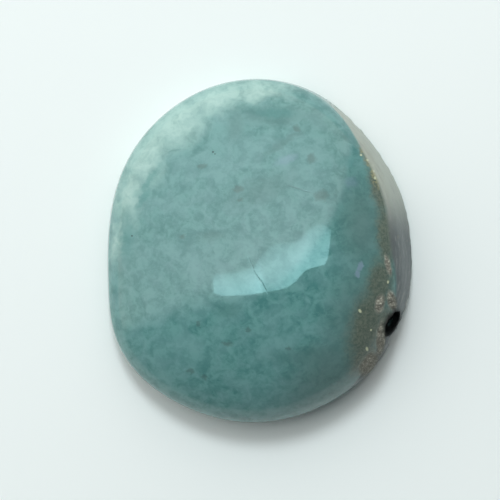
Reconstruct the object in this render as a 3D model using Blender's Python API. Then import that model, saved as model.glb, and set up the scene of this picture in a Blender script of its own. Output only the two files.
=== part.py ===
"""Larimar cabochon: one free-form, high-domed stone, polished on top and resting on a flat base.

Seen from above, +X is the stone's slanted, broken side and +Y is its rounder end.
The base lies on Z = 0 and the origin is under the middle of the stone.
"""

import math

import bmesh
import bpy
from mathutils import Matrix, Vector

MM = 0.001

# Overall size in millimetres
WIDTH = 22.2
LENGTH = 25.0
HEIGHT = 6.6

# Outline: radius in millimetres every 15 degrees, anticlockwise from +X
OUTLINE_RADII = (
    11.25, 11.35, 11.35, 11.45, 11.95, 12.35, 12.45, 12.35, 12.05, 11.75, 11.40, 11.00,
    10.85, 11.15, 12.20, 12.60, 12.55, 12.55, 12.55, 12.40, 12.25, 12.25, 11.70, 11.70,
)
MEAN_RADIUS = 11.8

# Dome: where its summit lies from the origin, and how full its shoulders are (2 is an ellipse)
SUMMIT_X = 2.3
SUMMIT_Y = -2.2
DOME_FULLNESS = 2.15

# Girdle, the widest line of the stone: height in millimetres every 30 degrees from +X
GIRDLE_HEIGHTS = (0.45, 0.50, 0.80, 1.20, 1.50, 1.60, 1.60, 1.60, 1.70, 1.70, 1.40, 0.70)
MEAN_GIRDLE = 1.2

# Flat base: how far its edge lies inside the girdle, every 30 degrees from +X
BASE_INSETS = (0.20, 0.25, 0.40, 0.60, 0.80, 0.90, 0.90, 1.00, 1.10, 1.10, 0.90, 0.40)
UNDERSIDE_TURN = math.radians(70)

# Slanted side face: its width seen from above, every 15 degrees from +X, none past the +Y end
SIDE_FACE_WIDTHS = (
    1.80, 1.70, 1.35, 1.10, 0.35, 0.05, 0.05, 0.05, 0.05, 0.05, 0.05, 0.05,
    0.05, 0.05, 0.05, 0.05, 0.05, 0.05, 0.05, 0.05, 0.15, 0.75, 0.85, 1.25,
)
SHOULDER_BLEND = 0.35

# Notch: a deep pit behind the foot of the side face, and its mouth, which opens through the outline
NOTCH_CENTRE = (9.50, -5.27, 3.00)
NOTCH_RADII = (0.45, 1.05, 2.75)
NOTCH_TURN = math.radians(-30)
NOTCH_MOUTH_CENTRE = (9.76, -6.29, 0.60)
NOTCH_MOUTH_RADII = (0.73, 0.47, 3.00)
NOTCH_MOUTH_TURN = math.radians(35)

# Chips along the thin edge: angle in degrees, radius, bite into the edge, height
EDGE_CHIPS = (
    (62.0, 1.20, 0.15, 0.90),
    (-12.0, 1.00, 0.18, 0.40),
    (-40.5, 0.90, 0.34, 1.80),
    (-46.0, 1.00, 0.42, 2.00),
    (-52.0, 0.90, 0.34, 2.20),
)

# Mesh of the body: columns of points stand closer together round the broken side
COLUMNS = 112
DOME_ROWS = 21
UNDERSIDE_ROWS = 5
BASE_ROWS = 3
CROWDED_ANGLE = math.radians(-22)
CROWDING = 0.45

# Polished stone
STONE_COLOUR = (0.11, 0.26, 0.25, 1.0)
STONE_ROUGHNESS = 0.12
STONE_IOR = 1.6


def around(values, angle):
    """Value at an angle of a closed ring of evenly spaced values, on a cubic B-spline."""
    place = (angle / math.tau % 1.0) * len(values)
    first = int(place)
    t = place - first
    before, here, after, beyond = (values[(first + step) % len(values)] for step in (-1, 0, 1, 2))
    weighted = (1 - t) ** 3 * before
    weighted += (3 * t**3 - 6 * t**2 + 4) * here
    weighted += (-3 * t**3 + 3 * t**2 + 3 * t + 1) * after
    weighted += t**3 * beyond
    return weighted / 6


def eased_lower(first, second, blend):
    """The lower of two heights, rounded over a short blend where they cross."""
    overlap = max(blend - abs(first - second), 0.0) / blend
    return min(first, second) - overlap**2 * blend / 4


def dome_height(share, angle):
    """Height of the plain dome at a share of the way from its summit to the girdle."""
    rim = MEAN_GIRDLE + (around(GIRDLE_HEIGHTS, angle) - MEAN_GIRDLE) * share**2
    return rim + (HEIGHT - rim) * max(1 - share**2, 0.0) ** (1 / DOME_FULLNESS)


def top_height(share, angle):
    """Height of the top: the dome, cut off by the straight side face near its rim."""
    width_share = around(SIDE_FACE_WIDTHS, angle) / around(OUTLINE_RADII, angle)
    girdle = around(GIRDLE_HEIGHTS, angle)
    shoulder = dome_height(1 - width_share, angle)
    side_face = girdle + (shoulder - girdle) * (1 - share) / width_share
    return eased_lower(dome_height(share, angle), side_face, SHOULDER_BLEND)


def top_point(share, angle):
    """Point on the polished top, with the summit standing off the middle of the outline."""
    radius = MEAN_RADIUS + (around(OUTLINE_RADII, angle) - MEAN_RADIUS) * share**2
    summit = Vector((SUMMIT_X, SUMMIT_Y)) * (1 - share**2)
    x = summit.x + radius * share * math.cos(angle)
    y = summit.y + radius * share * math.sin(angle)
    return Vector((x, y, top_height(share, angle)))


def underside_point(share, angle):
    """Point on the turned-in underside, from the girdle (0) down to the base's edge (1)."""
    turn = share * UNDERSIDE_TURN
    inward = (1 - math.cos(turn)) / (1 - math.cos(UNDERSIDE_TURN))
    radius = around(OUTLINE_RADII, angle) - around(BASE_INSETS, angle) * inward
    z = top_height(1.0, angle) * (1 - math.sin(turn) / math.sin(UNDERSIDE_TURN))
    return Vector((radius * math.cos(angle), radius * math.sin(angle), max(z, 0.0)))


def stone_point(row, column_angle):
    """Point of the stone for a row counted from the summit and a column's even angle."""
    angle = column_angle - CROWDING * math.sin(column_angle - CROWDED_ANGLE)
    if row <= DOME_ROWS:
        return top_point(math.sin(row / DOME_ROWS * math.pi / 2), angle)
    if row <= DOME_ROWS + UNDERSIDE_ROWS:
        return underside_point((row - DOME_ROWS) / UNDERSIDE_ROWS, angle)
    edge = underside_point(1.0, angle)
    inside = (row - DOME_ROWS - UNDERSIDE_ROWS) / BASE_ROWS
    return Vector((edge.x * (1 - inside), edge.y * (1 - inside), 0.0))


def fit_to_size(points):
    """Scales and centres the points so that the stone has exactly its overall size."""
    lows = [min(point.co[axis] for point in points) for axis in range(3)]
    highs = [max(point.co[axis] for point in points) for axis in range(3)]
    middles = ((lows[0] + highs[0]) / 2, (lows[1] + highs[1]) / 2, lows[2])
    for axis, size in enumerate((WIDTH, LENGTH, HEIGHT)):
        scale = size / (highs[axis] - lows[axis])
        for point in points:
            point.co[axis] = (point.co[axis] - middles[axis]) * scale


def clear_scene():
    """Removes whatever the open file holds."""
    for obj in list(bpy.data.objects):
        bpy.data.objects.remove(obj, do_unlink=True)


def new_collection(name):
    """An empty collection in the scene."""
    collection = bpy.data.collections.new(name)
    bpy.context.scene.collection.children.link(collection)
    return collection


def new_object(name, mesh_builder, collection):
    """An object whose mesh is taken from a bmesh in millimetres, at real size in metres."""
    bmesh.ops.scale(mesh_builder, vec=(MM, MM, MM), verts=mesh_builder.verts)
    bmesh.ops.recalc_face_normals(mesh_builder, faces=mesh_builder.faces)
    mesh = bpy.data.meshes.new(name)
    mesh_builder.to_mesh(mesh)
    mesh_builder.free()
    obj = bpy.data.objects.new(name, mesh)
    collection.objects.link(obj)
    return obj


def stone_material():
    """Polished blue-green larimar."""
    material = bpy.data.materials.new("polished_larimar")
    material.use_nodes = True
    shader = material.node_tree.nodes["Principled BSDF"]
    shader.inputs["Base Color"].default_value = STONE_COLOUR
    shader.inputs["Roughness"].default_value = STONE_ROUGHNESS
    shader.inputs["Metallic"].default_value = 0.0
    shader.inputs["IOR"].default_value = STONE_IOR
    return material


def add_body(collection):
    """The stone itself, a sphere drawn out to the cabochon's form."""
    rows = DOME_ROWS + UNDERSIDE_ROWS + BASE_ROWS
    body = bmesh.new()
    bmesh.ops.create_uvsphere(body, u_segments=COLUMNS, v_segments=rows, radius=1.0)
    for point in body.verts:
        row = round(math.acos(max(-1.0, min(1.0, point.co.z))) / math.pi * rows)
        point.co = stone_point(row, math.atan2(point.co.y, point.co.x))
    fit_to_size(body.verts)
    stone = new_object("larimar_cabochon", body, collection)
    stone.data.materials.append(stone_material())
    return stone


def ellipsoid(centre, radii, turn):
    """A stretched sphere, turned about Z, for cutting away stone."""
    place = Matrix.Translation(Vector(centre)) @ Matrix.Rotation(turn, 4, "Z")
    shape = bmesh.new()
    bmesh.ops.create_icosphere(shape, subdivisions=3, radius=1.0)
    bmesh.ops.scale(shape, vec=radii, verts=shape.verts)
    bmesh.ops.transform(shape, matrix=place, verts=shape.verts)
    return shape


def cut(stone, name, shape, collection):
    """Takes a shape out of the stone and keeps it as a hidden cutter."""
    cutter = new_object(name, shape, collection)
    cutter.hide_render = True
    cutter.display_type = "WIRE"
    boolean = stone.modifiers.new(name, "BOOLEAN")
    boolean.operation = "DIFFERENCE"
    boolean.solver = "EXACT"
    boolean.object = cutter


def cut_notch(stone, collection):
    """The pit behind the foot of the side face, and the mouth that opens it outwards."""
    pit = ellipsoid(NOTCH_CENTRE, NOTCH_RADII, NOTCH_TURN)
    cut(stone, "notch_cutter", pit, collection)
    mouth = ellipsoid(NOTCH_MOUTH_CENTRE, NOTCH_MOUTH_RADII, NOTCH_MOUTH_TURN)
    cut(stone, "notch_mouth_cutter", mouth, collection)


def cut_edge_chips(stone, collection):
    """Shallow shell-shaped chips where the thin edge was knocked."""
    for number, (degrees, radius, bite, height) in enumerate(EDGE_CHIPS, 1):
        angle = math.radians(degrees)
        reach = around(OUTLINE_RADII, angle) + radius - bite
        centre = (reach * math.cos(angle), reach * math.sin(angle), height)
        chip = ellipsoid(centre, (radius, radius, radius), 0.0)
        cut(stone, f"edge_chip_cutter_{number}", chip, collection)


def shade(stone):
    """Smooth shading, with the base's edge and the cavity's rim kept crisp."""
    stone.data.shade_smooth()
    stone.data.set_sharp_from_angle(angle=math.radians(35))


def main():
    clear_scene()
    stone = add_body(new_collection("larimar_cabochon"))
    cutters = new_collection("cutters")
    cut_notch(stone, cutters)
    cut_edge_chips(stone, cutters)
    shade(stone)


main()
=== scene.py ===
"""A loose larimar cabochon on white paper, seen from straight above."""

import math

import bpy
import numpy as np
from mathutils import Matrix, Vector


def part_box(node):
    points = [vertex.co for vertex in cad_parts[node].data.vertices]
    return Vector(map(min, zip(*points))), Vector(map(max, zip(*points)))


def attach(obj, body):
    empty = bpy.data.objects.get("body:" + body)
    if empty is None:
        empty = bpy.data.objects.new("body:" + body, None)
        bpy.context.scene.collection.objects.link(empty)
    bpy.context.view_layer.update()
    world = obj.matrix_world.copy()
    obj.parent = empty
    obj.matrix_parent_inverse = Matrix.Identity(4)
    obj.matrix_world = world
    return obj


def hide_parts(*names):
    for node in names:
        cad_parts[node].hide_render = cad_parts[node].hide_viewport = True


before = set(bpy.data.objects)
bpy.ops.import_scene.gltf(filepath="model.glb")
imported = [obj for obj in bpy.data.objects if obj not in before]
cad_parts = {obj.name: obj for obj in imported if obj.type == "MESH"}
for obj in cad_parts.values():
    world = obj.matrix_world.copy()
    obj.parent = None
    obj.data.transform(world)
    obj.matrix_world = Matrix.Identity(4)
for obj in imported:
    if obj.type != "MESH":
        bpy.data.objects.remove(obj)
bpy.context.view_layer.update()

# Camera: it hangs 20 cm straight above the paper, up the page being +Y.
# It is placed by the stone's girdle, where one pixel of the 500-pixel frame is PIXEL metres.
FRAME_PIXELS = 500
PIXEL = 0.0250 / 344
GIRDLE_LEVEL = 0.0015
CAMERA_HEIGHT = 0.200
STONE_MIDDLE_PIXEL = (260.2, 250.5)

camera_x = (FRAME_PIXELS / 2 - STONE_MIDDLE_PIXEL[0]) * PIXEL
camera_y = (STONE_MIDDLE_PIXEL[1] - FRAME_PIXELS / 2) * PIXEL
camera_place = Vector((camera_x, camera_y, CAMERA_HEIGHT))
bpy.ops.object.camera_add(location=camera_place, rotation=(0, 0, 0))
camera = bpy.context.object
camera.name = "camera"
camera.data.sensor_width = 36
camera.data.lens = 36 * (CAMERA_HEIGHT - GIRDLE_LEVEL) / (FRAME_PIXELS * PIXEL)
camera.data.clip_start = 0.01
bpy.context.scene.camera = camera


def level_point(pixel, height):
    """Point that a pixel shows on a level plane at a height."""
    reach = (CAMERA_HEIGHT - height) / (CAMERA_HEIGHT - GIRDLE_LEVEL) * PIXEL
    x = camera_x + (pixel[0] - FRAME_PIXELS / 2) * reach
    y = camera_y + (FRAME_PIXELS / 2 - pixel[1]) * reach
    return Vector((x, y, height))


# The stone: one larimar cabochon, a lopsided high dome with a slanted, broken side at +X.
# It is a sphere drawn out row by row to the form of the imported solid, then notched and chipped.
# Its sizes are in millimetres, and angles run anticlockwise from +X.
OUTLINE_RADII = (
    11.25, 11.35, 11.35, 11.45, 11.95, 12.35, 12.45, 12.35, 12.05, 11.75, 11.40, 11.00,
    10.85, 11.15, 12.20, 12.60, 12.55, 12.55, 12.55, 12.40, 12.25, 12.25, 11.70, 11.70,
)
MEAN_RADIUS = 11.8
SUMMIT = (2.3, -2.2)
DOME_FULLNESS = 2.15
GIRDLE_HEIGHTS = (0.45, 0.50, 0.80, 1.20, 1.50, 1.60, 1.60, 1.60, 1.70, 1.70, 1.40, 0.70)
MEAN_GIRDLE = 1.2
BASE_INSETS = (0.20, 0.25, 0.40, 0.60, 0.80, 0.90, 0.90, 1.00, 1.10, 1.10, 0.90, 0.40)
UNDERSIDE_TURN = math.radians(70)
SIDE_FACE_WIDTHS = (
    1.80, 1.70, 1.35, 1.10, 0.35, 0.05, 0.05, 0.05, 0.05, 0.05, 0.05, 0.05,
    0.05, 0.05, 0.05, 0.05, 0.05, 0.05, 0.05, 0.05, 0.15, 0.75, 0.85, 1.25,
)
SHOULDER_BLEND = 0.35
NOTCH_CENTRE = (9.50, -5.27, 3.00)
NOTCH_RADII = (0.45, 1.05, 2.75)
NOTCH_TURN = math.radians(-30)
NOTCH_MOUTH_CENTRE = (9.76, -6.29, 0.60)
NOTCH_MOUTH_RADII = (0.73, 0.47, 3.00)
NOTCH_MOUTH_TURN = math.radians(35)
EDGE_CHIPS = (
    (62.0, 1.20, 0.15, 0.90),
    (-12.0, 1.00, 0.18, 0.40),
    (-40.5, 0.90, 0.34, 1.80),
    (-46.0, 1.00, 0.42, 2.00),
    (-52.0, 0.90, 0.34, 2.20),
)
COLUMNS = 420
DOME_ROWS = 110
UNDERSIDE_ROWS = 18
BASE_ROWS = 4
CROWDED_ANGLE = math.radians(-22)
CROWDING = 0.55
CUTTER_SUBDIVISIONS = 5
CRISP_ANGLE = math.radians(50)

stone_low, stone_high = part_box("larimar_cabochon")
stone_height = (stone_high.z - stone_low.z) * 1000


def around(values, angle):
    """Value at each angle of a closed ring of evenly spaced values, on a cubic B-spline."""
    ring = np.asarray(values)
    place = (angle / math.tau % 1.0) * len(ring)
    first = place.astype(int)
    t = place - first
    before, here, after, beyond = (ring[(first + step) % len(ring)] for step in (-1, 0, 1, 2))
    weighted = (1 - t) ** 3 * before
    weighted += (3 * t**3 - 6 * t**2 + 4) * here
    weighted += (-3 * t**3 + 3 * t**2 + 3 * t + 1) * after
    weighted += t**3 * beyond
    return weighted / 6


def eased_lower(first, second, blend):
    """The lower of two heights, rounded over a short blend where they cross."""
    overlap = np.maximum(blend - np.abs(first - second), 0) / blend
    return np.minimum(first, second) - overlap**2 * blend / 4


def dome_height(share, angle):
    """Height of the plain dome at a share of the way from its summit to the girdle."""
    rim = MEAN_GIRDLE + (around(GIRDLE_HEIGHTS, angle) - MEAN_GIRDLE) * share**2
    return rim + (stone_height - rim) * np.maximum(1 - share**2, 0) ** (1 / DOME_FULLNESS)


def top_height(share, angle):
    """Height of the top: the dome, cut off by the straight side face near its rim."""
    width_share = around(SIDE_FACE_WIDTHS, angle) / around(OUTLINE_RADII, angle)
    girdle = around(GIRDLE_HEIGHTS, angle)
    shoulder = dome_height(1 - width_share, angle)
    side_face = girdle + (shoulder - girdle) * (1 - share) / width_share
    return eased_lower(dome_height(share, angle), side_face, SHOULDER_BLEND)


def top_points(share, angle):
    """Points on the polished top, with the summit standing off the middle of the outline."""
    radius = MEAN_RADIUS + (around(OUTLINE_RADII, angle) - MEAN_RADIUS) * share**2
    x = SUMMIT[0] * (1 - share**2) + radius * share * np.cos(angle)
    y = SUMMIT[1] * (1 - share**2) + radius * share * np.sin(angle)
    return np.stack((x, y, top_height(share, angle)), axis=1)


def underside_points(share, angle):
    """Points on the turned-in underside, from the girdle (0) down to the base's edge (1)."""
    turn = share * UNDERSIDE_TURN
    inward = (1 - np.cos(turn)) / (1 - math.cos(UNDERSIDE_TURN))
    radius = around(OUTLINE_RADII, angle) - around(BASE_INSETS, angle) * inward
    z = top_height(np.ones_like(angle), angle) * (1 - np.sin(turn) / math.sin(UNDERSIDE_TURN))
    return np.stack((radius * np.cos(angle), radius * np.sin(angle), np.maximum(z, 0)), axis=1)


rows = DOME_ROWS + UNDERSIDE_ROWS + BASE_ROWS
bpy.ops.object.select_all(action="DESELECT")
bpy.ops.mesh.primitive_uv_sphere_add(segments=COLUMNS, ring_count=rows, radius=1)
stone = bpy.context.object
stone.name = "larimar_stone"

ball = np.empty(len(stone.data.vertices) * 3)
stone.data.vertices.foreach_get("co", ball)
ball = ball.reshape(-1, 3)
row = np.round(np.arccos(np.clip(ball[:, 2], -1, 1)) / math.pi * rows)
column_angle = np.arctan2(ball[:, 1], ball[:, 0])
angle = column_angle - CROWDING * np.sin(column_angle - CROWDED_ANGLE)
share = np.sin(np.minimum(row / DOME_ROWS, 1) * math.pi / 2)
under = np.clip((row - DOME_ROWS) / UNDERSIDE_ROWS, 0, 1)
inside = np.clip((row - DOME_ROWS - UNDERSIDE_ROWS) / BASE_ROWS, 0, 1)[:, None]
points = np.where((row <= DOME_ROWS)[:, None], top_points(share, angle), underside_points(under, angle))
points = points * np.hstack((1 - inside, 1 - inside, np.ones_like(inside)))

lows = points.min(axis=0)
highs = points.max(axis=0)
fit_middle = (lows + highs) / 2 * (1, 1, 0)
fit_scale = np.array(stone_high - stone_low) * 1000 / (highs - lows)
stone.data.vertices.foreach_set("co", ((points - fit_middle) * fit_scale / 1000).ravel())
stone.data.update()


def cut_out(name, centre, radii, turn=0.0):
    """Takes a stretched ball, with its place and radii in millimetres, out of the stone."""
    bpy.ops.object.select_all(action="DESELECT")
    bpy.ops.mesh.primitive_ico_sphere_add(
        subdivisions=CUTTER_SUBDIVISIONS,
        radius=0.001,
        location=Vector(centre) / 1000,
        rotation=(0, 0, turn),
        scale=radii,
    )
    cutter = bpy.context.object
    bpy.context.view_layer.objects.active = stone
    boolean = stone.modifiers.new(name, "BOOLEAN")
    boolean.operation = "DIFFERENCE"
    boolean.solver = "EXACT"
    boolean.object = cutter
    bpy.ops.object.modifier_apply(modifier=name)
    bpy.data.objects.remove(cutter, do_unlink=True)


cut_out("notch", NOTCH_CENTRE, NOTCH_RADII, NOTCH_TURN)
cut_out("notch_mouth", NOTCH_MOUTH_CENTRE, NOTCH_MOUTH_RADII, NOTCH_MOUTH_TURN)
for number, (degrees, radius, bite, height) in enumerate(EDGE_CHIPS, 1):
    chip_angle = np.array([math.radians(degrees)])
    reach = around(OUTLINE_RADII, chip_angle)[0] + radius - bite
    chip_centre = (reach * math.cos(chip_angle[0]), reach * math.sin(chip_angle[0]), height)
    cut_out(f"edge_chip_{number}", chip_centre, (radius, radius, radius))

# The broken side's surface: loose white crust round the notch, a rough cavity, a worn side face
# with long scrapes, and a thin edge with many small nicks, all raised or sunk in the mesh.
# Patches are ellipses in the picture: middle pixel, radii in pixels, turn in degrees.
CRUST_PATCHES = (
    ((380, 304), (4.5, 9), -10),
    ((392, 301), (4.5, 10), 12),
    ((381, 339), (4.5, 17), -5),
    ((369, 364), (7, 13), -33),
    ((388, 265), (2.5, 10), 15),
)
CAVITY_PATCH = ((392, 322), (7, 13), -25)


def point_positions():
    """Place of every point of the stone's mesh, in millimetres."""
    flat = np.empty(len(stone.data.vertices) * 3)
    stone.data.vertices.foreach_get("co", flat)
    return flat.reshape(-1, 3) * 1000


def seen_pixels(places):
    """Pixel of the picture in which each place shows, as two columns."""
    scale = (CAMERA_HEIGHT - GIRDLE_LEVEL) * 1000 / (CAMERA_HEIGHT * 1000 - places[:, 2])
    across = (places[:, 0] / 1000 - camera_x) * scale / PIXEL
    up = (places[:, 1] / 1000 - camera_y) * scale / PIXEL
    return np.stack((FRAME_PIXELS / 2 + across, FRAME_PIXELS / 2 - up), axis=1)


def eased(value, start, end):
    """0 before the start, 1 past the end, and a smooth step between."""
    t = np.clip((value - start) / (end - start), 0, 1)
    return t * t * (3 - 2 * t)


def in_ellipse(pixels, middle, radii, turn, soft=0.35):
    """1 in an ellipse of the picture, falling softly to 0 outside it."""
    cos, sin = math.cos(math.radians(turn)), math.sin(math.radians(turn))
    right = pixels[:, 0] - middle[0]
    up = middle[1] - pixels[:, 1]
    along = (right * cos + up * sin) / radii[0]
    across = (up * cos - right * sin) / radii[1]
    return eased(np.hypot(along, across), 1 + soft, 1 - soft)


def rim_distance(places):
    """How far inside the outline each place lies, seen from above, in millimetres."""
    raw = places[:, :2] / fit_scale[:2] + fit_middle[:2]
    turn = np.arctan2(raw[:, 1], raw[:, 0])
    return around(OUTLINE_RADII, turn) - np.hypot(raw[:, 0], raw[:, 1])


def roughen(name, weights, kind, grain, depth, level=0.5):
    """Moves points in and out by their weight and a noise whose grain and depth are in millimetres."""
    group = stone.vertex_groups.new(name=name)
    for index in np.flatnonzero(weights > 0.02):
        group.add([int(index)], float(weights[index]), "REPLACE")
    texture = bpy.data.textures.new(name, kind)
    texture.noise_scale = grain / 1000
    displace = stone.modifiers.new(name, "DISPLACE")
    displace.texture = texture
    displace.texture_coords = "LOCAL"
    displace.vertex_group = name
    displace.strength = depth / 1000
    displace.mid_level = level
    bpy.ops.object.modifier_apply(modifier=name)
    stone.vertex_groups.clear()


places = point_positions()
pixels = seen_pixels(places)
turn = np.degrees(np.arctan2(places[:, 1], places[:, 0]))
rim = rim_distance(places)
on_top = eased(places[:, 2], 0.15, 0.5)
broken_side = eased(turn, -62, -50) * eased(turn, 72, 58)
face_width = around(SIDE_FACE_WIDTHS, np.radians(turn))
side_face = eased(rim, face_width * 1.12, face_width * 0.88) * broken_side * on_top
# The notch's patch: roughened in the mesh below, and painted near-black as shade in the material.
cavity_and_shade = in_ellipse(pixels, *CAVITY_PATCH) * on_top
crust = np.max([in_ellipse(pixels, *patch) for patch in CRUST_PATCHES], axis=0) * on_top
crust *= 1 - cavity_and_shade
thin_edge = eased(rim, 0.22, 0.05) * broken_side * on_top

bpy.context.view_layer.objects.active = stone
roughen("crust_lumps", crust, "VORONOI", 0.42, -0.20, 0.45)
roughen("crust_grit", crust, "CLOUDS", 0.16, 0.10)
roughen("cavity_wall", cavity_and_shade, "CLOUDS", 0.45, 0.22)
roughen("side_waves", side_face, "CLOUDS", 0.90, 0.07)
roughen("edge_nicks", thin_edge, "CLOUDS", 0.55, 0.16, 0.80)

bpy.ops.object.select_all(action="DESELECT")
stone.select_set(True)
bpy.ops.object.shade_smooth_by_angle(angle=CRISP_ANGLE)


def keep_attribute(name, values):
    """Stores one number for each point, for the material to read."""
    attribute = stone.data.attributes.new(name, "FLOAT", "POINT")
    attribute.data.foreach_set("value", values.astype(np.float32))


keep_attribute("rim", rim)
keep_attribute("side_face", side_face)
keep_attribute("crust", crust)
keep_attribute("cavity_and_shade", cavity_and_shade)


def stone_under(x, y):
    """Point of the stone's top straight below a place."""
    found, place, normal, face = stone.ray_cast(Vector((x, y, 0.05)), Vector((0, 0, -1)))
    return place


def on_stone(pixel):
    """Point of the stone that a pixel shows."""
    aim = level_point(pixel, 0) - camera_place
    found, place, normal, face = stone.ray_cast(camera_place, aim.normalized())
    return place


def reflected(pixel, step=0.0003):
    """Point of the stone that a pixel shows, and the way its mirror image of the camera looks."""
    place = on_stone(pixel)
    east = stone_under(place.x + step, place.y) - stone_under(place.x - step, place.y)
    north = stone_under(place.x, place.y + step) - stone_under(place.x, place.y - step)
    normal = east.cross(north).normalized()
    return place, (place - camera_place).normalized().reflect(normal)


class Wire:
    """A socket of a material that can be used in sums."""

    def __init__(self, nodes, socket):
        self.nodes = nodes
        self.socket = socket

    def work_out(self, operation, *values):
        return self.nodes.add("ShaderNodeMath", {"operation": operation}, values)

    def __add__(self, other):
        return self.work_out("ADD", self, other)

    def __radd__(self, other):
        return self.work_out("ADD", other, self)

    def __sub__(self, other):
        return self.work_out("SUBTRACT", self, other)

    def __rsub__(self, other):
        return self.work_out("SUBTRACT", other, self)

    def __mul__(self, other):
        return self.work_out("MULTIPLY", self, other)

    def __rmul__(self, other):
        return self.work_out("MULTIPLY", other, self)

    def __or__(self, other):
        return self.work_out("MAXIMUM", self, other)


class Nodes:
    """The node tree of one material."""

    def __init__(self, name):
        self.material = bpy.data.materials.new(name)
        self.material.use_nodes = True
        self.tree = self.material.node_tree
        self.shader = self.tree.nodes["Principled BSDF"]

    def add(self, kind, settings=None, inputs=None, output=0):
        """Adds a node, sets its settings first, then gives its sockets their values or links."""
        node = self.tree.nodes.new(kind)
        for setting, value in (settings or {}).items():
            setattr(node, setting, value)
        pairs = inputs.items() if isinstance(inputs, dict) else enumerate(inputs or [])
        for socket, value in pairs:
            self.feed(node.inputs[socket], value)
        return Wire(self, node.outputs[output])

    def feed(self, socket, value):
        """Links a wire to a socket, or sets the socket's own value."""
        if isinstance(value, Wire):
            self.tree.links.new(value.socket, socket)
        elif socket.type == "RGBA":
            socket.default_value = (*value[:3], 1)
        else:
            socket.default_value = value

    def attribute(self, name):
        """A number stored on the mesh."""
        return self.add("ShaderNodeAttribute", {"attribute_name": name}, output=2)

    def vector(self, operation, *values):
        return self.add("ShaderNodeVectorMath", {"operation": operation}, values)

    def mix(self, share, first, second, blend="MIX"):
        """A colour between two others, or their product."""
        settings = {"data_type": "RGBA", "blend_type": blend}
        return self.add("ShaderNodeMix", settings, {0: share, 6: first, 7: second}, output=2)

    def step(self, value, start, end, first=0.0, second=1.0):
        """A smooth step from a first to a second number."""
        settings = {"interpolation_type": "SMOOTHSTEP"}
        return self.add("ShaderNodeMapRange", settings, [value, start, end, first, second])

    def noise(self, vector, scale, detail=2.0, roughness=0.5, output=0):
        inputs = {"Vector": vector, "Scale": scale, "Detail": detail, "Roughness": roughness}
        return self.add("ShaderNodeTexNoise", None, inputs, output)


# The stone's finish: polished blue-green larimar with whitish clouds, laid on stronger along the lit
# upper-left rim as painted light, and darker fuzzy blotches, brown matrix and dull crust on its broken
# side, painted light and shade on its side face, painted shade on its lower right and in the notch, and
# a ground, matt underside.
# Patterns are placed in millimetres. Spots are given by pixel, radii in pixels, turn in degrees.
larimar = Nodes("larimar")
object_place = larimar.add("ShaderNodeTexCoord", output=3)
place_mm = larimar.add(
    "ShaderNodeVectorMath", {"operation": "SCALE"}, {0: object_place, "Scale": 1000.0}
)
half = (0.5, 0.5, 0.5)
slow_drift = larimar.vector("SUBTRACT", larimar.noise(place_mm, 0.55, 3.0, 0.6, output=1), half)
warped = larimar.vector("MULTIPLY_ADD", slow_drift, (1.9, 1.9, 1.9), place_mm)
fine_drift = larimar.vector("SUBTRACT", larimar.noise(place_mm, 2.2, 3.0, 0.6, output=1), half)
frayed = larimar.vector("MULTIPLY_ADD", fine_drift, (0.7, 0.7, 0.7), place_mm)


def spot(pixel, radii, turn=0.0, soft=0.5, source=frayed):
    """Mask of a soft patch on the stone round the point that a pixel shows."""
    radii_mm = [radius * PIXEL * 1000 for radius in radii]
    inputs = {
        "Vector": source,
        "Location": on_stone(pixel) * 1000,
        "Rotation": (0, 0, math.radians(turn)),
        "Scale": (*radii_mm, 2.5 * max(radii_mm)),
    }
    centred = larimar.add("ShaderNodeMapping", {"vector_type": "TEXTURE"}, inputs)
    settings = {"operation": "LENGTH"}
    distance = larimar.add("ShaderNodeVectorMath", settings, [centred], output=1)
    return larimar.step(distance, 1 - soft, 1 + soft, 1.0, 0.0)


def spots(*rows, **options):
    """Mask of several patches together."""
    joined = spot(*rows[0], **options)
    for row in rows[1:]:
        joined = joined | spot(*row, **options)
    return joined


DEEP = (0.062, 0.190, 0.182)
PALE = (0.120, 0.285, 0.268)
CLOUD_AND_RIM_LIGHT = (0.360, 0.530, 0.485)
MILKY = (0.175, 0.330, 0.330)
SHADED = (0.060, 0.150, 0.140)
TEAL = (0.040, 0.200, 0.190)
BROWNED = (0.058, 0.110, 0.098)
LILAC = (0.230, 0.330, 0.430)

blotch_noise = larimar.noise(warped, 1.15, 5.0, 0.62)
fine_noise = larimar.noise(frayed, 3.6, 3.0, 0.55)
wide_noise = larimar.noise(place_mm, 0.22, 2.0, 0.5)
tone = larimar.step(blotch_noise * 0.72 + fine_noise * 0.28, 0.36, 0.62)
colour = larimar.mix(tone, DEEP, PALE)

cell_settings = {"feature": "SMOOTH_F1"}
cells = larimar.add(
    "ShaderNodeTexVoronoi", cell_settings, {"Vector": warped, "Scale": 0.95, "Smoothness": 0.6}
)
colour = larimar.mix(larimar.step(cells, 0.35, 0.75, 0.0, 0.30), colour, MILKY)
colour = larimar.mix(larimar.step(wide_noise, 0.42, 0.68, 0.0, 0.25), colour, MILKY)

# Whitish cloud along the upper-left rim, laid on stronger than the cloud alone as painted light: it
# stands in for part of the brighter reflection on that lit rim.
cloud_and_rim_light = spots(
    ((257, 90), (30, 9), 3),
    ((214, 99), (36, 14), 22),
    ((176, 122), (34, 20), 42),
    ((148, 154), (30, 17), 58),
    ((128, 196), (28, 11), 76),
    ((118, 238), (22, 6), 88),
    soft=0.9,
    source=warped,
)
colour = larimar.mix(cloud_and_rim_light * larimar.step(blotch_noise, 0.25, 0.65, 0.50, 0.85), colour, CLOUD_AND_RIM_LIGHT)

shade = spots(
    ((272, 116), (30, 9), 0),
    ((236, 124), (9, 16), -8),
    ((262, 190), (30, 12), 20),
    ((285, 142), (22, 3), 33),
    ((212, 236), (12, 5), 0),
    ((228, 310), (12, 7), 10),
    ((300, 355), (30, 8), 5),
    soft=0.8,
)
colour = larimar.mix(shade * 0.38, colour, SHADED)

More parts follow.
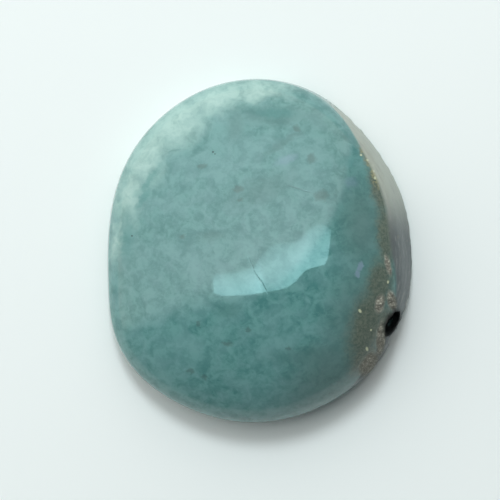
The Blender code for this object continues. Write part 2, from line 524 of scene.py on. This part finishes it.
teal = spots(
    ((151, 178), (3.2, 16), -38),
    ((142, 200), (3, 12), -30),
    ((346, 162), (7, 5), 20),
    ((126, 232), (7, 26), 0),
    ((275, 113), (18, 5), 0),
    soft=0.6,
)
colour = larimar.mix(teal * 0.42, colour, TEAL)

dots = spots(
    ((202, 166), (4, 3)),
    ((238, 189), (4.5, 3)),
    ((240, 200), (3, 2.2)),
    ((312, 158), (4.5, 4.5)),
    ((321, 196), (7, 5)),
    ((226, 344), (5, 2.5)),
    ((198, 324), (2.5, 3)),
    ((248, 330), (3, 2)),
    ((190, 371), (3.5, 2.5)),
    ((205, 377), (3.5, 2.5)),
    ((182, 237), (3, 2.5)),
    ((288, 348), (3, 2)),
    ((297, 128), (3, 2.5)),
)
colour = larimar.mix(dots * 0.5, colour, BROWNED)

lilac = spots(((352, 183), (5.5, 4.5)), ((286, 160), (10, 3.5), 20), soft=0.7)
colour = larimar.mix(lilac * 0.35, colour, LILAC)
lilac_eye = spots(((360, 267), (3.2, 5.2), -22), ((357, 274), (2.6, 3)), soft=0.3)
colour = larimar.mix(lilac_eye * 0.85, colour, LILAC)

# Hairline cracks in the polish, and pinholes, as dark lines and dots sunk a little
CRACKS = (
    ((251, 263), (6, 0.45), -66),
    ((258, 277), (7, 0.45), -56),
    ((264, 286), (6, 0.50), -64),
    ((296, 188), (7, 0.7), -17),
    ((305, 191), (6, 0.6), -15),
)
PINHOLES = (((213, 152), (0.9, 0.9)), ((132, 236), (0.8, 0.8)), ((215, 154), (0.6, 0.6)))
cracks = spots(*CRACKS, soft=0.8, source=place_mm)
pinholes = spots(*PINHOLES, soft=0.4, source=place_mm)
flaws = cracks * 0.3 | pinholes * 0.8
colour = larimar.mix(flaws, colour, (0.02, 0.05, 0.05))

# Brown matrix under the polish of the broken side, with ochre and pale crystal flecks
VEILED_AND_SHADED = (0.095, 0.150, 0.138)
MATRIX = (0.150, 0.165, 0.120)
MATRIX_DARK = (0.070, 0.086, 0.064)
OCHRE = (0.330, 0.300, 0.140)
FLECK = (0.620, 0.640, 0.420)
# A brownish-grey veil on the right side; on the lower right it is laid on darker as painted shade,
# where the dome faces away from the light.
veil_and_shade = spots(
    ((362, 225), (22, 44), 4),
    ((356, 320), (26, 60), -12),
    ((330, 372), (44, 26), 38),
    soft=0.9,
)
colour = larimar.mix(veil_and_shade * 0.55, colour, VEILED_AND_SHADED)
matrix = spots(
    ((368, 325), (17, 40), -14),
    ((380, 284), (13, 26), -8),
    ((386, 236), (9, 36), 3),
    ((379, 190), (8, 28), 14),
    ((369, 158), (5.5, 18), 30),
    ((364, 358), (12, 20), -24),
    ((384, 326), (10, 22), -10),
    soft=0.55,
)
matrix_grain = larimar.noise(frayed, 5.0, 4.0, 0.7)
matrix_colour = larimar.mix(larimar.step(matrix_grain, 0.35, 0.65), MATRIX_DARK, MATRIX)
colour = larimar.mix(matrix * 0.85, colour, matrix_colour)
ochre = spots(((368, 158), (3, 14), 28), ((375, 176), (3, 12), 12), soft=0.6)
colour = larimar.mix(ochre * larimar.step(matrix_grain, 0.4, 0.6) * 0.7, colour, OCHRE)
flecks = spots(
    ((361, 155), (1.2, 1)),
    ((368, 160), (1.8, 1)),
    ((373, 165), (1.5, 1.2)),
    ((374, 171), (1, 1.2)),
    ((375, 178), (1.2, 1.5)),
    ((348, 118), (2, 0.8), -50),
    ((367, 349), (1.2, 2.2), 20),
    ((360, 311), (1.2, 2), 30),
    ((371, 330), (1, 1)),
    ((398, 237), (1.2, 1.8)),
    ((407, 241), (1, 1.5)),
    ((388, 282), (1, 1.5)),
    soft=0.4,
    source=place_mm,
)
colour = larimar.mix(flecks * 0.8, colour, FLECK)

# Worn side face, scraped along its length: greyish white above as painted light, and dusky purple-grey
# lower down as painted shade
FACE_LIT = (0.420, 0.450, 0.390)
FACE_SHADED = (0.110, 0.120, 0.125)
FACE_STREAK = (0.300, 0.300, 0.280)
side = larimar.attribute("side_face")
rim_mm = larimar.attribute("rim")
east_north = larimar.add("ShaderNodeSeparateXYZ", None, [place_mm])
north = Wire(larimar, east_north.socket.node.outputs[1])
height = Wire(larimar, east_north.socket.node.outputs[2])
along_edge = larimar.add(
    "ShaderNodeCombineXYZ", None, [rim_mm * 6.0, north * 0.8, height * 0.8]
)
scrapes = larimar.noise(along_edge, 1.0, 4.0, 0.6)
face_colour_lit_and_shaded = larimar.mix(larimar.step(north, 0.5, 5.0), FACE_SHADED, FACE_LIT)
face_colour_lit_and_shaded = larimar.mix(larimar.step(scrapes, 0.52, 0.68) * 0.5, face_colour_lit_and_shaded, FACE_STREAK)
colour = larimar.mix(side * 0.9, colour, face_colour_lit_and_shaded)

# Loose whitish crust, and the inside of the notch, painted near-black as shade
CRUST = (0.200, 0.190, 0.155)
CRUST_WHITE = (0.560, 0.550, 0.450)
CAVITY_SHADE = (0.016, 0.014, 0.010)
crust_share = larimar.attribute("crust")
cavity_and_shade_share = larimar.attribute("cavity_and_shade")
crust_grain = larimar.noise(place_mm, 7.0, 4.0, 0.75)
crust_colour = larimar.mix(larimar.step(crust_grain, 0.50, 0.66), CRUST, CRUST_WHITE)
colour = larimar.mix(crust_share, colour, crust_colour)
colour = larimar.mix(cavity_and_shade_share * 0.96, colour, CAVITY_SHADE)

# Ground underside: the same stone, paler with dust and finely scratched
UNDERSIDE = (0.240, 0.380, 0.350)
underside = larimar.step(height, 0.45, 0.05)
colour = larimar.mix(underside * 0.55, colour, UNDERSIDE)
larimar.feed(larimar.shader.inputs["Base Color"], colour)

roughness = larimar.step(fine_noise, 0.3, 0.7, 0.10, 0.14)
roughness = roughness + matrix * 0.22 + side * 0.42 + crust_share * 0.6 + cavity_and_shade_share * 0.5
roughness = roughness + underside * 0.4
larimar.feed(larimar.shader.inputs["Roughness"], larimar.step(roughness, 0.0, 1.0, 0.0, 0.9))

rough_area = crust_share * 0.9 | side * 0.35 | matrix * 0.12 | cavity_and_shade_share | underside * 0.2
relief = crust_grain * rough_area + scrapes * side * 0.5 - flaws * 0.5
larimar.feed(
    larimar.shader.inputs["Normal"],
    larimar.add(
        "ShaderNodeBump",
        None,
        {"Strength": 1.0, "Distance": 0.00006, "Height": relief},
    ),
)
larimar.shader.inputs["IOR"].default_value = 1.6
stone.data.materials.append(larimar.material)

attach(stone, "root")
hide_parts("larimar_cabochon")

# The paper: one large plain white sheet, lying flat under the stone.
bpy.ops.object.select_all(action="DESELECT")
bpy.ops.mesh.primitive_plane_add(size=1.6, location=(0, 0, 0))
paper = bpy.context.object
paper.name = "paper"
paper_nodes = Nodes("paper")
paper_nodes.shader.inputs["Base Color"].default_value = (0.86, 0.89, 0.87, 1)
paper_nodes.shader.inputs["Roughness"].default_value = 0.9
paper.data.materials.append(paper_nodes.material)

# The room's light: a white dome round the stone, bright on its upper-left half and dim on the
# other, seen only in what it lights and in reflections.
ROOM_RADIUS = 0.6
BRIGHT_FROM = 45
BRIGHT_FROM_EDGE = 4
BRIGHT_TO = 198
BRIGHT_TO_EDGE = 10
bpy.ops.object.select_all(action="DESELECT")
bpy.ops.mesh.primitive_uv_sphere_add(segments=360, ring_count=180, radius=ROOM_RADIUS)
room = bpy.context.object
room.name = "room_light"
bpy.ops.object.mode_set(mode="EDIT")
bpy.ops.mesh.select_all(action="SELECT")
bpy.ops.mesh.bisect(
    plane_co=(0, 0, 0.001), plane_no=(0, 0, 1), clear_inner=True, clear_outer=False
)
bpy.ops.object.mode_set(mode="OBJECT")
directions = np.empty(len(room.data.vertices) * 3)
room.data.vertices.foreach_get("co", directions)
directions = directions.reshape(-1, 3) / ROOM_RADIUS
up = np.clip(directions[:, 2], 0, 1)


def past_plane(turn):
    """How far each direction lies anticlockwise of the upright plane at a turn, in degrees."""
    side_way = np.array((-math.sin(math.radians(turn)), math.cos(math.radians(turn)), 0))
    return np.degrees(np.arcsin(np.clip(directions @ side_way, -1, 1)))


bright = eased(past_plane(BRIGHT_FROM) / BRIGHT_FROM_EDGE, -0.5, 0.5)
bright *= eased(-past_plane(BRIGHT_TO) / BRIGHT_TO_EDGE, -0.5, 0.5)
bright_glow = 1.25 + 0.95 * up**6
dim_glow = 0.055 + 0.33 * (1 - up) ** 2
glow = dim_glow + (bright_glow - dim_glow) * bright
warmth = (1 - up) * bright
for attribute_name, values in (("glow", glow), ("warmth", warmth)):
    room_attribute = room.data.attributes.new(attribute_name, "FLOAT", "POINT")
    room_attribute.data.foreach_set("value", values.astype(np.float32))


def make_glow(obj, nodes, colour, strength, see_through=False):
    """Gives an object a plain glowing surface, hidden from the camera."""
    glowing = nodes.add("ShaderNodeEmission", None, {"Color": colour, "Strength": strength})
    if see_through:
        clear = nodes.add("ShaderNodeBsdfTransparent")
        glowing = nodes.add("ShaderNodeAddShader", None, [glowing, clear])
    surface = nodes.tree.nodes["Material Output"].inputs["Surface"]
    nodes.tree.links.new(glowing.socket, surface)
    obj.data.materials.append(nodes.material)
    obj.visible_camera = False


room_nodes = Nodes("room_light")
room_colour = room_nodes.mix(room_nodes.attribute("warmth"), (0.93, 1.0, 1.02), (1.08, 1.0, 0.92))
make_glow(room, room_nodes, room_colour, room_nodes.attribute("glow"))

# The lamp: small and nearly overhead, it draws the short dark shadow along the lower rim.
LAMP_TURN = math.radians(98)
LAMP_RISE = math.radians(57)
LAMP_DISTANCE = 0.35
LAMP_WIDTH = 0.09
LAMP_POWER = 0.47
lamp_way = Vector((math.cos(LAMP_TURN), math.sin(LAMP_TURN), math.tan(LAMP_RISE))).normalized()
bpy.ops.object.light_add(type="AREA", location=lamp_way * LAMP_DISTANCE)
lamp = bpy.context.object
lamp.name = "lamp"
lamp.rotation_euler = lamp_way.to_track_quat("Z", "Y").to_euler()
lamp.data.shape = "DISK"
lamp.data.size = LAMP_WIDTH
lamp.data.energy = LAMP_POWER
lamp.data.color = (0.90, 1.0, 1.05)
lamp.visible_glossy = False

# The window: a bright pane that only shows as the reflection across the middle of the dome.
# Each row is a pixel on the reflection's sharp lower edge, and the one across it on its upper.
WINDOW_HEIGHT = 0.15
WINDOW_EDGES = (
    ((214, 293), (212.5, 280)),
    ((222, 296), (217, 275.5)),
    ((235, 295.5), (234, 274.5)),
    ((248, 295), (247, 271)),
    ((261, 293), (255.5, 268.5)),
    ((268, 291.5), (262, 258)),
    ((278, 290), (272, 249.5)),
    ((288, 287), (282, 246.5)),
    ((296, 281), (290, 245.5)),
    ((301, 275), (298, 243.5)),
    ((306, 270), (304, 238)),
    ((313, 267.5), (310, 232)),
    ((325, 264.5), (317, 228)),
    ((328, 257), (325, 227)),
    ((329.5, 247), (331, 231)),
)
WINDOW_GLOWS = (0.85, 0.85, 0.95, 1.05, 1.45, 0.75, 0.85, 0.95, 1.05, 1.1, 1.1, 1.1, 1.0, 1.0, 0.9)
WINDOW_STEPS = ((0.0, 1.0), (0.35, 0.97), (0.75, 0.72), (1.0, 0.45), (1.14, 0.0))
WINDOW_GLOW = 4.0
WINDOW_COLOUR = (0.50, 1.0, 1.05)


def pane_point(pixel):
    """Place on the window's level plane that is seen in the stone at a pixel."""
    place, way = reflected(pixel)
    return place + way * ((WINDOW_HEIGHT - place.z) / way.z)


pane_points = []
pane_glows = []
for (lower, upper), column_glow in zip(WINDOW_EDGES, WINDOW_GLOWS):
    for reach, row_glow in WINDOW_STEPS:
        pixel = Vector(lower).lerp(Vector(upper), reach)
        pane_points.append(pane_point(pixel))
        pane_glows.append(column_glow * row_glow)
across = len(WINDOW_STEPS)
pane_faces = [
    (first, first + 1, first + across + 1, first + across)
    for first in range(len(pane_points) - across)
    if (first + 1) % across
]
pane_mesh = bpy.data.meshes.new("window")
pane_mesh.from_pydata(pane_points, [], pane_faces)
pane = bpy.data.objects.new("window", pane_mesh)
bpy.context.scene.collection.objects.link(pane)
pane_attribute = pane_mesh.attributes.new("glow", "FLOAT", "POINT")
pane_attribute.data.foreach_set("value", np.array(pane_glows, np.float32))
pane_nodes = Nodes("window")
pane_glow = pane_nodes.attribute("glow") * WINDOW_GLOW
make_glow(pane, pane_nodes, WINDOW_COLOUR, pane_glow, see_through=True)
pane.visible_diffuse = False
pane.visible_shadow = False

backdrop = bpy.data.worlds.new("backdrop")
bpy.context.scene.world = backdrop
backdrop.use_nodes = True
backdrop.node_tree.nodes["Background"].inputs["Color"].default_value = (0.90, 0.91, 0.90, 1)
backdrop.node_tree.nodes["Background"].inputs["Strength"].default_value = 0.9

bpy.context.scene.view_settings.view_transform = "Standard"
